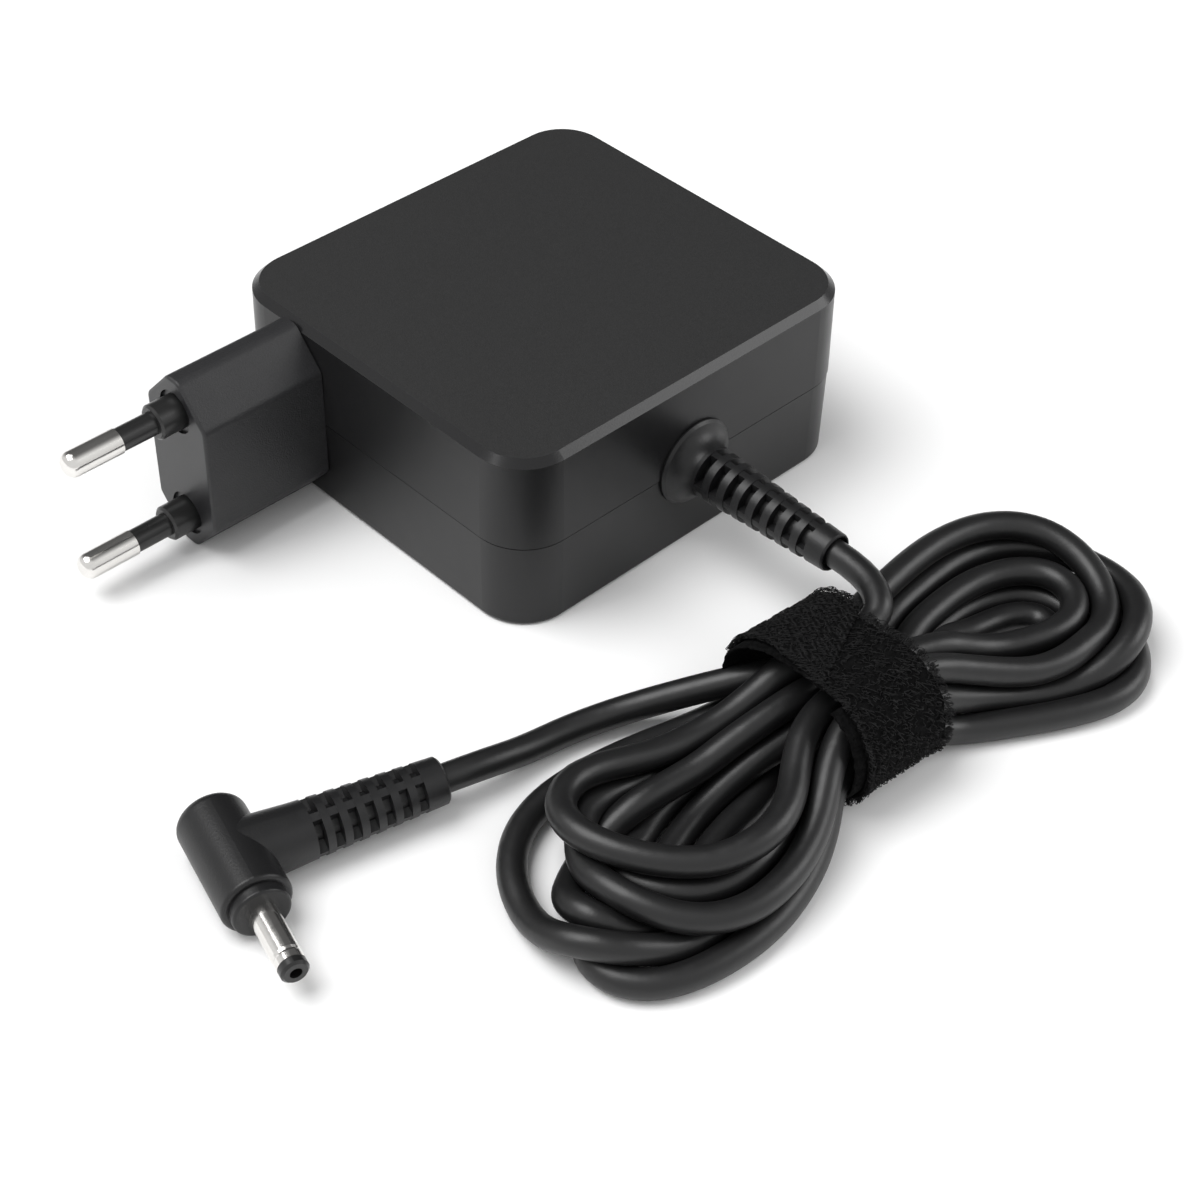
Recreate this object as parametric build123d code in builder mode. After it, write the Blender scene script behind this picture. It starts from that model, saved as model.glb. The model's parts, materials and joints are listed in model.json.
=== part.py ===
from build123d import *
import math
import os

# Laptop power adapter with a fixed two-pin mains plug, a strain-relieved lead,
# a strapped hank of cord and a right-angle barrel connector.
# Frame: +Z up, the mains pins point to -X, the lead leaves the case on its -Y side.
# Origin: the middle of the case's flat underside, which lies on the table at z = 0.

os.makedirs("parts", exist_ok=True)

# ---------------------------------------------------------------- case sizes
case_x = 69.5            # across, from the plug side to the far side
case_y = 65.0            # along, from the lead side to the back
case_z = 30.5            # full height
case_corner_r = 8.5
wall = 2.0               # shell walls, roof and floor
seam_z = 15.0            # height of the joint between the shells
seam_gap = 0.25          # shadow line left open at the joint
lower_step = 0.12        # the lower shell stands back this far from the upper one
draft = 0.8              # degrees, both shells narrow away from the joint
roof_chamfer = 1.1
floor_edge_r = 0.8
lip_h = 1.8              # tongue of the lower shell inside the upper one
lip_t = 0.8
fit_gap = 0.15           # clearance between pieces that slide together
rest_gap = 0.1           # under the insulation sheet and over the heat spreader
cutter_over = 1.0        # cutting solids reach this far past the wall they cut

# ---------------------------------------------------------------- mains plug
plug_reach = 21.4        # how far the plug block stands out of the case
plug_w = 13.7
plug_y = 17.4            # the block's middle, towards the back of the case
plug_cut_w = 5.5         # corner cuts of the long octagon, across
plug_cut_h = 6.0         # and upwards
plug_corner_r = 1.6
plug_face_r = 0.5
plug_neck_inset = 2.6    # the neck through the case wall is this much slimmer
plug_flange_t = 1.8
plug_flange_side = 1.5   # the flange stands this far out of the neck
plug_flange_gap = 0.5    # and this far from the case's floor and roof
plug_hollow_side = 1.5   # wall of the hollow block, across
plug_hollow_top = 1.0    # and upwards
plug_front_t = 6.5       # solid front that holds the pins
pin_r = 2.0
pin_core_r = 1.45        # slimmer shank inside the sleeve
pin_end_r = 1.5          # rounding of the bare end
pin_spacing = 19.0
pin_length = 19.0        # from the plug's face to the tip
pin_root = 9.0           # length held inside the plug block
sleeve_length = 10.0
sleeve_step = 0.2        # the sleeve is this much slimmer than the bare pin, in radius
boss_r = 2.75
boss_edge_r = 0.35
boss_length = 4.0
boss_recess_r = 3.5
boss_recess_depth = 0.5

# ---------------------------------------------------------------- cord and strain reliefs
cord_r = 2.1
bore_gap = 0.05          # between the cord and the reliefs moulded round it
window_ribs = 4
rib_w = 1.1
rib_drop = 0.1           # the ribs lie this far below the rings

gland_flange_r = 7.0
gland_flange_t = 0.7
gland_flange_edge = 0.4  # cut off the flange's outer edge
gland_flare_length = 2.7
gland_neck_r = 4.2
gland_end_wall = 0.9     # rubber round the cord at the slim end
gland_length = 24.6      # ringed stretch, from the flare to the collar's end
gland_rows = 8
gland_pitch = 2.75
gland_window = 1.45
gland_lock_r = 5.6
gland_lock_t = 1.8
gland_rib_turn = 5.0     # degrees from straight up to the first rib

dc_relief_length = 20.5
dc_relief_root_r = 4.15
dc_relief_end_wall = 1.25
dc_relief_rows = 7
dc_relief_pitch = 2.43
dc_relief_window = 1.3
dc_relief_first = 1.9    # from the relief's root to the first row's middle
dc_relief_rib_turn = 23.0
collar_gap = 0.5         # the collar's mouth stands clear of the cord by this
collar_mouth = 1.2
collar_edge = 0.3
cord_inside = 4.0        # the cord's jacket ends this far inside the strain relief's lock

# ---------------------------------------------------------------- barrel connector
dc_body_r = 4.9
dc_back = 8.1            # from the lead's axis to the rounded back end
dc_front = 8.9           # from the lead's axis to the front shoulder
dc_end_r = 1.6
dc_shoulder_r = 0.6
dc_collar_edge_r = 0.4
dc_collar_r = 4.0
dc_collar_length = 1.6
dc_branch = 9.3          # from the body's axis to the relief's root
dc_branch_step = 0.05    # the branch is this much slimmer than the body, in radius
dc_cord_stop = 0.5       # overmould between the barrel and the end of the cord
barrel_r = 2.0
barrel_wall = 0.55
barrel_length = 9.3
barrel_root = 8.0        # length held inside the overmould
barrel_groove = 0.12
barrel_groove_w = 0.7
barrel_groove_back = 1.4 # from the barrel's front edge
tip_ring = 1.3           # black insulator that shows beyond the barrel
tip_step = 0.05          # the ring is this much slimmer than the barrel, in radius
tip_edge = 0.35
tip_bore_r = 0.85
tip_lip = 0.5            # the insulator covers the contact's edge by this
contact_wall = 0.25
dc_x = -92.2             # where the lead's axis meets the body's axis
dc_y = -40.6
dc_turn = 15.4           # degrees that the barrel is turned from -Y towards -X

# ---------------------------------------------------------------- hank and strap
hank_x = -15.3           # the strap's middle on the table
hank_y = -76.0
hank_turn = -12.3        # direction of the bundle, degrees from +X
strap_turn = 8.3         # the strap sits askew on the bundle by this many degrees
strap_w = 16.0
strap_t = 1.5
strap_across = 31.0      # outside size of the closed strap
strap_high = 19.0
strap_corner_r = 8.0
left_lobe_h = 14.0
right_lobe_h = 12.5
lobe_corner_r = 4.0
lobe_edge_r = 3.0
lobe_clear = 10.5        # from the strap's middle to where the fanned ends begin
waist_beyond = 4.5       # the tied waist reaches this far past the strap
first_run = 6.0          # of the cord, straight out of each strain relief

# ---------------------------------------------------------------- circuit board and what it carries
board_under = 5.0        # height of the board's underside
board_t = 1.6
board_corner_r = 2.0
board_gap = 2.25         # to the case walls
board_plug_gap = 3.1     # to the plug's flange
post_r = 2.6
post_peg_r = 1.2
post_peg_h = 1.0         # above the board
post_inset = 4.0         # from the board's edges
insulation_t = 0.4

core_x = 26.0
core_y = 14.0
core_leg = 6.0           # centre leg, and twice an outer one
core_yoke = 3.5
core_from_right = 24.5
core_from_middle = 3.0
winding_gap = 0.2
winding_corner_r = 4.0
pad_t = 3.0              # thermal pad between the core and the heat spreader
spreader_t = 0.8
spreader_inset = 1.0     # from the board's outline
spreader_corner_r = 3.0

bulk_r = 8.0
bulk_length = 22.0
bulk_from_left = 8.5
bulk_from_front = 5.75
can_edge_r = 0.8

choke_r = 6.5
choke_hole_r = 3.2
choke_h = 6.0
choke_wire = 0.9
choke_gap_w = 3.5        # bare stretch of the ring between its two windings
choke_from_left = 10.0
choke_from_back = 19.25

x_capacitor_size = (15.0, 7.0, 12.0)
bridge_size = (14.0, 4.0, 11.0)
optocoupler_size = (6.5, 4.6, 3.5)
heatsink_t = 2.0
primary_heatsink_w = 16.0
secondary_heatsink_w = 20.0
heatsink_h = 17.0
moulded_edge_r = 0.3
fuse_r = 3.2
fuse_h = 7.5
output_can_r = 5.0
output_can_h = 18.5
output_can_spacing = 11.5
output_choke_r = 4.6
output_choke_h = 8.0
y_capacitor_r = 4.0
y_capacitor_t = 2.6
lead_stand = 0.5         # leaded parts stand this far off the board
device_w = 10.0
device_t = 4.4
device_h = 15.0
device_chamfer = 0.8
chip_size = (5.0, 4.0, 1.5)
wire_r = 0.7
wire_spacing = 1.8


bore_r = cord_r + bore_gap


# ================================================================ helpers
def octagon(width, height, cut_w, cut_h):
    """Corner points of a long octagon standing on its short flat side."""
    half_w = width / 2
    half_h = height / 2
    return [
        (half_w, half_h - cut_h),
        (half_w - cut_w, half_h),
        (cut_w - half_w, half_h),
        (-half_w, half_h - cut_h),
        (-half_w, cut_h - half_h),
        (cut_w - half_w, -half_h),
        (half_w - cut_w, -half_h),
        (half_w, cut_h - half_h),
    ]


def relief_radius(s, root_r, end_r, length):
    """Outside radius of a tapered relief at the distance s from its root."""
    return root_r + (end_r - root_r) * s / length


def turned(at, outline):
    """Solid turned round the plane's Z axis, from (distance, radius) points."""
    with BuildPart() as solid:
        with BuildSketch(Plane(at.origin, x_dir=at.z_dir, z_dir=at.y_dir)):
            with BuildLine():
                Polyline(*outline, close=True)
            make_face()
        revolve(axis=Axis(at.origin, at.z_dir))
    return solid


def window_cuts(at, root_r, end_r, length, rows, pitch, width, first, rib_turn):
    """Rows of windows between ribs, and the shallow grooves over the ribs, to be cut from a relief."""
    with BuildPart() as cuts:
        for row in range(rows):
            middle = first + row * pitch
            radius = relief_radius(middle, root_r, end_r, length)
            with BuildSketch(at.offset(middle - width / 2)):
                Circle(radius + cutter_over)
                Circle(radius - rib_drop, mode=Mode.SUBTRACT)
            extrude(amount=width)
            with BuildSketch(at.offset(middle - width / 2)):
                Circle(radius)
                Circle(bore_r, mode=Mode.SUBTRACT)
                with PolarLocations((radius + cord_r) / 2, window_ribs, start_angle=rib_turn):
                    Rectangle(radius, rib_w, mode=Mode.SUBTRACT)
            extrude(amount=width)
    return cuts.part


def tube(points, radii, radius):
    """Round tube along straight runs joined by tangent arcs."""
    with BuildPart() as solid:
        with BuildLine() as path:
            FilletPolyline(*points, radius=radii)
        with BuildSketch(Plane(path.line @ 0, z_dir=path.line % 0)):
            Circle(radius)
        sweep()
    return solid


def bend_radii(points):
    """Each corner's radius: 0.45 of its shorter run over the tangent of half its turn."""
    corners = [Vector(*p) for p in points]
    radii = []
    for before, corner, after in zip(corners, corners[1:], corners[2:]):
        turn = (corner - before).get_angle(after - corner)
        shorter = min((corner - before).length, (after - corner).length)
        radii.append(0.45 * shorter / math.tan(math.radians(turn) / 2))
    return radii


# ================================================================ case shells
plug_back = Plane((-case_x / 2, plug_y, case_z / 2), x_dir=(0, 1, 0), z_dir=(-1, 0, 0))
gland_plane = Plane((0, -case_y / 2, seam_z), x_dir=(0, 0, 1), z_dir=(0, -1, 0))
neck_w = plug_w - plug_neck_inset
neck_h = case_z - 2 * plug_neck_inset
neck_cut_w = plug_cut_w * neck_w / plug_w
flange_back = wall + case_z / 2 * math.tan(math.radians(draft)) + fit_gap
neck_outline = octagon(neck_w, neck_h, neck_cut_w, plug_cut_h)
neck_opening = octagon(neck_w + 2 * fit_gap, neck_h + 2 * fit_gap, neck_cut_w, plug_cut_h)
neck_cutter = plug_back.offset(-wall - cutter_over)
gland_cutter = gland_plane.offset(-wall - cutter_over)
wall_cut = wall + 2 * cutter_over

with BuildPart() as upper_shell:
    with BuildSketch(Plane.XY.offset(seam_z)):
        RectangleRounded(case_x, case_y, case_corner_r)
    extrude(amount=case_z - seam_z, taper=draft)
    chamfer(upper_shell.edges().group_by(Axis.Z)[-1], roof_chamfer)
    with BuildSketch(Plane.XY.offset(seam_z)):
        RectangleRounded(case_x - 2 * wall, case_y - 2 * wall, case_corner_r - wall)
    extrude(amount=case_z - seam_z - wall, taper=draft, mode=Mode.SUBTRACT)
    with BuildSketch(Plane.XY.offset(seam_z)):
        lip_x = case_x - 2 * (wall - lip_t)
        lip_y = case_y - 2 * (wall - lip_t)
        RectangleRounded(lip_x, lip_y, case_corner_r - wall + lip_t)
    extrude(amount=lip_h + fit_gap, mode=Mode.SUBTRACT)
    with BuildSketch(neck_cutter):
        Polygon(*neck_opening, align=None)
    extrude(amount=wall_cut, mode=Mode.SUBTRACT)
    with BuildSketch(gland_cutter):
        Circle(gland_neck_r + fit_gap)
    extrude(amount=wall_cut, mode=Mode.SUBTRACT)
upper_shell.part.label = "upper_shell"
export_step(upper_shell.part, "parts/upper_shell.step")

board_top = board_under + board_t
board_left = flange_back + plug_flange_t + board_plug_gap - case_x / 2
board_right = case_x / 2 - wall - board_gap
board_back = case_y / 2 - wall - board_gap
board_front = -board_back
board_x = board_right - board_left
board_y = board_back - board_front
board_middle = Location(((board_left + board_right) / 2, 0, 0))
post_spacing_x = board_x - 2 * post_inset
post_spacing_y = board_y - 2 * post_inset

with BuildPart() as lower_shell:
    with BuildSketch(Plane.XY.offset(seam_z - seam_gap)):
        RectangleRounded(case_x - 2 * lower_step, case_y - 2 * lower_step, case_corner_r - lower_step)
    extrude(amount=-(seam_z - seam_gap), taper=draft)
    fillet(lower_shell.edges().group_by(Axis.Z)[0], floor_edge_r)
    with BuildSketch(Plane.XY.offset(seam_z - seam_gap)):
        RectangleRounded(case_x - 2 * wall, case_y - 2 * wall, case_corner_r - wall)
    extrude(amount=-(seam_z - seam_gap - wall), taper=draft, mode=Mode.SUBTRACT)
    with BuildSketch(Plane.XY.offset(seam_z - seam_gap)):
        tongue_x = case_x - 2 * (wall - lip_t + fit_gap)
        tongue_y = case_y - 2 * (wall - lip_t + fit_gap)
        RectangleRounded(tongue_x, tongue_y, case_corner_r - wall + lip_t - fit_gap)
        RectangleRounded(case_x - 2 * wall, case_y - 2 * wall, case_corner_r - wall, mode=Mode.SUBTRACT)
    extrude(amount=lip_h + seam_gap)
    with BuildSketch(Plane.XY.offset(wall)):
        with Locations(board_middle):
            with GridLocations(post_spacing_x, post_spacing_y, 2, 2):
                Circle(post_r)
    extrude(amount=board_under - wall)
    with BuildSketch(Plane.XY.offset(board_under)):
        with Locations(board_middle):
            with GridLocations(post_spacing_x, post_spacing_y, 2, 2):
                Circle(post_peg_r)
    extrude(amount=board_t + post_peg_h)
    with BuildSketch(neck_cutter):
        Polygon(*neck_opening, align=None)
    extrude(amount=wall_cut, mode=Mode.SUBTRACT)
    with BuildSketch(gland_cutter):
        Circle(gland_neck_r + fit_gap)
    extrude(amount=wall_cut, mode=Mode.SUBTRACT)
lower_shell.part.label = "lower_shell"
export_step(lower_shell.part, "parts/lower_shell.step")

# ================================================================ mains plug
plug_face = plug_back.offset(plug_reach)
pin_places = {"upper": pin_spacing / 2, "lower": -pin_spacing / 2}
flange_w = neck_w + 2 * plug_flange_side
flange_h = case_z - 2 * wall - 2 * plug_flange_gap
flange_outline = octagon(flange_w, flange_h, neck_cut_w, plug_cut_h)
hollow_w = neck_w - 2 * plug_hollow_side
hollow_h = neck_h - 2 * plug_hollow_top
hollow_outline = octagon(hollow_w, hollow_h, neck_cut_w / 2, plug_cut_h / 2)

with BuildPart() as plug_housing:
    with BuildSketch(plug_back):
        Polygon(*octagon(plug_w, case_z, plug_cut_w, plug_cut_h), align=None)
        fillet(vertices(), plug_corner_r)
    extrude(amount=plug_reach)
    fillet(plug_housing.faces().sort_by(Axis.X)[0].edges(), plug_face_r)
    with BuildSketch(plug_back):
        Polygon(*neck_outline, align=None)
    extrude(amount=-flange_back)
    with BuildSketch(plug_back.offset(-flange_back)):
        Polygon(*flange_outline, align=None)
    extrude(amount=-plug_flange_t)
    with BuildSketch(plug_back.offset(plug_reach - plug_front_t)):
        Polygon(*hollow_outline, align=None)
    extrude(amount=-(plug_reach + flange_back + plug_flange_t), mode=Mode.SUBTRACT)
    for place in pin_places.values():
        with BuildSketch(plug_face):
            with Locations((0, place)):
                Circle(boss_recess_r)
        extrude(amount=-boss_recess_depth, mode=Mode.SUBTRACT)
        with BuildSketch(plug_face):
            with Locations((0, place)):
                Circle(boss_r)
        extrude(amount=-plug_front_t, mode=Mode.SUBTRACT)
plug_housing.part.label = "plug_housing"
export_step(plug_housing.part, "parts/plug_housing.step")

pin_base = (-case_x / 2 - plug_reach, plug_y)
sleeve_r = pin_r - sleeve_step
for name, place in pin_places.items():
    pin_plane = Plane((*pin_base, case_z / 2 + place), x_dir=(0, 0, 1), z_dir=(-1, 0, 0))
    mains_pin = turned(pin_plane, [
        (-pin_root, 0),
        (-pin_root, pin_core_r),
        (sleeve_length, pin_core_r),
        (sleeve_length, pin_r),
        (pin_length, pin_r),
        (pin_length, 0),
    ])
    with mains_pin:
        fillet(mains_pin.edges().sort_by(Axis.X)[0], pin_end_r)
    mains_pin.part.label = f"mains_pin_{name}"
    export_step(mains_pin.part, f"parts/mains_pin_{name}.step")

    pin_sleeve = turned(pin_plane, [
        (-plug_front_t, pin_core_r),
        (-plug_front_t, boss_r),
        (boss_length - boss_edge_r, boss_r),
        (boss_length, boss_r - boss_edge_r),
        (boss_length, sleeve_r),
        (sleeve_length, sleeve_r),
        (sleeve_length, pin_core_r),
    ])
    pin_sleeve.part.label = f"pin_sleeve_{name}"
    export_step(pin_sleeve.part, f"parts/pin_sleeve_{name}.step")

# ================================================================ strain relief on the case
gland_root = gland_flange_t + gland_flare_length
gland_mouth = gland_root + gland_length
gland_end_r = cord_r + gland_end_wall
lock_front = -wall - fit_gap
lock_back = lock_front - gland_lock_t
cord_end = lock_back - cord_inside
gland_windows = window_cuts(
    gland_plane.offset(gland_root),
    gland_neck_r,
    gland_end_r,
    gland_length,
    gland_rows,
    gland_pitch,
    gland_window,
    gland_pitch / 2,
    gland_rib_turn,
)
with BuildPart() as case_strain_relief:
    with BuildSketch(Plane(gland_plane.origin, x_dir=gland_plane.z_dir, z_dir=gland_plane.y_dir)):
        with BuildLine():
            Polyline(
                (gland_flange_t, gland_flange_r - gland_flange_edge),
                (gland_flange_t - gland_flange_edge, gland_flange_r),
                (0, gland_flange_r),
                (0, gland_neck_r),
                (lock_front, gland_neck_r),
                (lock_front, gland_lock_r),
                (lock_back, gland_lock_r),
                (lock_back, bore_r),
                (gland_mouth - collar_mouth, bore_r),
                (gland_mouth - collar_mouth, cord_r + collar_gap),
                (gland_mouth, cord_r + collar_gap),
                (gland_mouth, gland_end_r - collar_edge / 2),
                (gland_mouth - collar_edge, gland_end_r),
                (gland_root, gland_neck_r),
            )
            TangentArc(
                (gland_root, gland_neck_r),
                (gland_flange_t, gland_flange_r - gland_flange_edge),
                tangent=(-1, 0.12),
            )
        make_face()
    revolve(axis=Axis(gland_plane.origin, gland_plane.z_dir))
    add(gland_windows, mode=Mode.SUBTRACT)
case_strain_relief.part.label = "case_strain_relief"
export_step(case_strain_relief.part, "parts/case_strain_relief.step")

gland_cord = turned(gland_plane, [
    (cord_end, 0),
    (cord_end, cord_r),
    (gland_mouth, cord_r),
    (gland_mouth, 0),
])
gland_cord.part.label = "cord_in_case_relief"
export_step(gland_cord.part, "parts/cord_in_case_relief.step")

# ================================================================ barrel connector
turn = math.radians(dc_turn)
barrel_dir = Vector(-math.sin(turn), -math.cos(turn), 0)
lead_dir = Vector(math.cos(turn), -math.sin(turn), 0)
dc_middle = Vector(dc_x, dc_y, dc_body_r)
body_plane = Plane(dc_middle, x_dir=(0, 0, 1), z_dir=barrel_dir)
branch_plane = Plane(dc_middle, x_dir=(0, 0, 1), z_dir=lead_dir)
relief_plane = branch_plane.offset(dc_branch)
cord_stop = barrel_r + dc_cord_stop
dc_relief_end_r = cord_r + dc_relief_end_wall
barrel_bore_r = barrel_r - barrel_wall
contact_r = tip_bore_r + contact_wall
collar_end = dc_front + dc_collar_length
barrel_back = collar_end - barrel_root
barrel_end = collar_end + barrel_length
tip_end = barrel_end + tip_ring

with BuildPart() as dc_plug_body:
    with BuildSketch(body_plane.offset(-dc_back)):
        Circle(dc_body_r)
    extrude(amount=dc_back + dc_front)
    fillet(dc_plug_body.faces().sort_by(Axis(dc_middle, barrel_dir))[0].edges(), dc_end_r)
    fillet(dc_plug_body.faces().sort_by(Axis(dc_middle, barrel_dir))[-1].edges(), dc_shoulder_r)
    with BuildSketch(body_plane.offset(dc_front)):
        Circle(dc_collar_r)
    extrude(amount=dc_collar_length)
    fillet(dc_plug_body.faces().sort_by(Axis(dc_middle, barrel_dir))[-1].edges(), dc_collar_edge_r)
    with BuildSketch(branch_plane):
        Circle(dc_body_r - dc_branch_step)
    with BuildSketch(relief_plane):
        Circle(dc_relief_root_r)
    loft()
    with BuildSketch(body_plane.offset(barrel_back)):
        Circle(barrel_r)
    extrude(amount=barrel_root, mode=Mode.SUBTRACT)
    with BuildSketch(branch_plane.offset(cord_stop)):
        Circle(bore_r)
    extrude(amount=dc_branch, mode=Mode.SUBTRACT)
dc_plug_body.part.label = "dc_plug_body"
export_step(dc_plug_body.part, "parts/dc_plug_body.step")

dc_windows = window_cuts(
    relief_plane,
    dc_relief_root_r,
    dc_relief_end_r,
    dc_relief_length,
    dc_relief_rows,
    dc_relief_pitch,
    dc_relief_window,
    dc_relief_first,
    dc_relief_rib_turn,
)
with BuildPart() as dc_strain_relief:
    with BuildSketch(Plane(relief_plane.origin, x_dir=relief_plane.z_dir, z_dir=relief_plane.y_dir)):
        with BuildLine():
            Polyline(
                (0, bore_r),
                (0, dc_relief_root_r),
                (dc_relief_length - collar_edge, dc_relief_end_r),
                (dc_relief_length, dc_relief_end_r - collar_edge),
                (dc_relief_length, cord_r + collar_gap),
                (dc_relief_length - collar_mouth, cord_r + collar_gap),
                (dc_relief_length - collar_mouth, bore_r),
                close=True,
            )
        make_face()
    revolve(axis=Axis(relief_plane.origin, relief_plane.z_dir))
    add(dc_windows, mode=Mode.SUBTRACT)
dc_strain_relief.part.label = "dc_strain_relief"
export_step(dc_strain_relief.part, "parts/dc_strain_relief.step")

dc_cord = turned(branch_plane, [
    (cord_stop, 0),
    (cord_stop, cord_r),
    (dc_branch + dc_relief_length, cord_r),
    (dc_branch + dc_relief_length, 0),
])
dc_cord.part.label = "cord_in_dc_relief"
export_step(dc_cord.part, "parts/cord_in_dc_relief.step")

groove_at = barrel_end - barrel_groove_back
dc_barrel = turned(body_plane, [
    (barrel_back, barrel_bore_r),
    (barrel_back, barrel_r),
    (groove_at - barrel_groove_w / 2, barrel_r),
    (groove_at, barrel_r - barrel_groove),
    (groove_at + barrel_groove_w / 2, barrel_r),
    (barrel_end, barrel_r),
    (barrel_end, barrel_bore_r),
])
dc_barrel.part.label = "dc_barrel"
export_step(dc_barrel.part, "parts/dc_barrel.step")

tip_insulator = turned(body_plane, [
    (barrel_back, contact_r),
    (barrel_back, barrel_bore_r),
    (barrel_end, barrel_bore_r),
    (barrel_end, barrel_r - tip_step),
    (tip_end - tip_edge, barrel_r - tip_step),
    (tip_end, barrel_r - tip_step - tip_edge),
    (tip_end, tip_bore_r),
    (barrel_end - tip_lip, tip_bore_r),
    (barrel_end - tip_lip, contact_r),
])
tip_insulator.part.label = "tip_insulator"
export_step(tip_insulator.part, "parts/tip_insulator.step")

centre_contact = turned(body_plane, [
    (barrel_back, tip_bore_r),
    (barrel_back, contact_r),
    (barrel_end - tip_lip, contact_r),
    (barrel_end - tip_lip, tip_bore_r),
])
centre_contact.part.label = "centre_contact"
export_step(centre_contact.part, "parts/centre_contact.step")

# ================================================================ hank, strap and the free lead
hank_plane = Plane(
    (hank_x, hank_y, 0),
    x_dir=(math.cos(math.radians(hank_turn)), math.sin(math.radians(hank_turn)), 0),
    z_dir=(0, 0, 1),
)
strap_axis = hank_plane.x_dir.rotate(Axis.Z, strap_turn)
across_plane = Plane(hank_plane.origin, x_dir=Vector(0, 0, 1).cross(strap_axis), z_dir=strap_axis)
strap_inner_w = strap_across - 2 * strap_t
strap_inner_h = strap_high - 2 * strap_t
strap_side = strap_w / 2
strap_middle_h = strap_high / 2

with BuildPart() as cable_strap:
    with BuildSketch(across_plane.offset(-strap_side)):
        with Locations((0, strap_middle_h)):
            RectangleRounded(strap_across, strap_high, strap_corner_r)
            RectangleRounded(strap_inner_w, strap_inner_h, strap_corner_r - strap_t, mode=Mode.SUBTRACT)
    extrude(amount=strap_w)
cable_strap.part.label = "cable_strap"
export_step(cable_strap.part, "parts/cable_strap.step")

# Outlines of the fanned ends on the table, along and across the bundle.
left_outline = [
    (-lobe_clear, -13.5),
    (-22, -22),
    (-36, -29),
    (-50, -26),
    (-57, -13),
    (-54, 2),
    (-44, 9),
    (-30, 11.5),
    (-lobe_clear, 13.5),
]
right_outline = [
    (lobe_clear, 13),
    (18, 18.5),
    (32, 22.5),
    (47, 22),
    (56, 14),
    (54, 2),
    (48, -12),
    (36, -17),
    (20, -13.5),
    (lobe_clear, -13),
]
with BuildPart() as cord_hank:
    for outline, height in ((left_outline, left_lobe_h), (right_outline, right_lobe_h)):
        with BuildSketch(hank_plane) as lobe:
            Polygon(*outline, align=None)
            fillet(lobe.vertices(), lobe_corner_r)
        extrude(amount=height)
        fillet(cord_hank.edges(Select.LAST).group_by(Axis.Z)[-1], lobe_edge_r)
    with BuildSketch(across_plane.offset(-strap_side - waist_beyond)):
        with Locations((0, strap_middle_h)):
            RectangleRounded(strap_inner_w, strap_inner_h, strap_corner_r - strap_t)
    extrude(amount=strap_w + 2 * waist_beyond)
cord_hank.part.label = "cord_hank"
export_step(cord_hank.part, "parts/cord_hank.step")

gland_mouth_at = gland_plane.origin + gland_plane.z_dir * gland_mouth
lead_in_route = [
    tuple(gland_mouth_at),
    tuple(gland_mouth_at + gland_plane.z_dir * first_run),
    (-3.0, -71.8, 14.6),
    (-9.5, -72.4, 14.2),
]
dc_mouth_at = relief_plane.origin + lead_dir * dc_relief_length
lead_out_route = [
    tuple(dc_mouth_at),
    tuple(dc_mouth_at + lead_dir * first_run),
    (-50.5, -50.6, 2.9),
    (-42.5, -51.6, 2.5),
    (-34.6, -54.6, 3.2),
    (-27.8, -59.6, 5.6),
    (-21.7, -65.0, 8.4),
    (-15.2, -69.0, 8.8),
]
for name, route in (("cord_lead_in", lead_in_route), ("cord_lead_out", lead_out_route)):
    radii = bend_radii(route)
    lead = tube(route, radii, cord_r)
    with BuildLine() as run:
        FilletPolyline(*route, radius=radii)
    section = math.pi * cord_r ** 2
    print(name, "radii", [round(r, 1) for r in radii])
    print(name, "volume over section times length", round(lead.part.volume / section / run.wire().length, 4))
    with lead:
        add(cord_hank.part, mode=Mode.SUBTRACT)
    lead.part.label = name
    export_step(lead.part, f"parts/{name}.step")

# ================================================================ inside the case
spreader_top = case_z - wall - rest_gap
core_top = spreader_top - spreader_t - pad_t
core_at = (board_right - core_from_right, core_from_middle)
window_x = (core_x - 2 * core_leg) / 2
window_h = core_top - board_top - 2 * core_yoke

with BuildPart() as insulation_sheet:
    with BuildSketch(Plane.XY.offset(wall + rest_gap)):
        with Locations(board_middle):
            RectangleRounded(board_x, board_y, board_corner_r)
            with GridLocations(post_spacing_x, post_spacing_y, 2, 2):
                Circle(post_r + fit_gap, mode=Mode.SUBTRACT)
    extrude(amount=insulation_t)
insulation_sheet.part.label = "insulation_sheet"
export_step(insulation_sheet.part, "parts/insulation_sheet.step")

with BuildPart() as circuit_board:
    with BuildSketch(Plane.XY.offset(board_under)):
        with Locations(board_middle):
            RectangleRounded(board_x, board_y, board_corner_r)
            with GridLocations(post_spacing_x, post_spacing_y, 2, 2):
                Circle(post_peg_r + fit_gap, mode=Mode.SUBTRACT)
    extrude(amount=board_t)
circuit_board.part.label = "circuit_board"
export_step(circuit_board.part, "parts/circuit_board.step")

with BuildPart() as transformer_core:
    with BuildSketch(Plane.XY.offset(board_top)):
        with Locations(core_at):
            Rectangle(core_x, core_y)
    extrude(amount=core_top - board_top)
    with BuildSketch(Plane.XY.offset(board_top + core_yoke)):
        with Locations(core_at):
            with GridLocations(core_leg + window_x, 0, 2, 1):
                Rectangle(window_x, core_y)
    extrude(amount=window_h, mode=Mode.SUBTRACT)
transformer_core.part.label = "transformer_core"
export_step(transformer_core.part, "parts/transformer_core.step")

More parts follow.
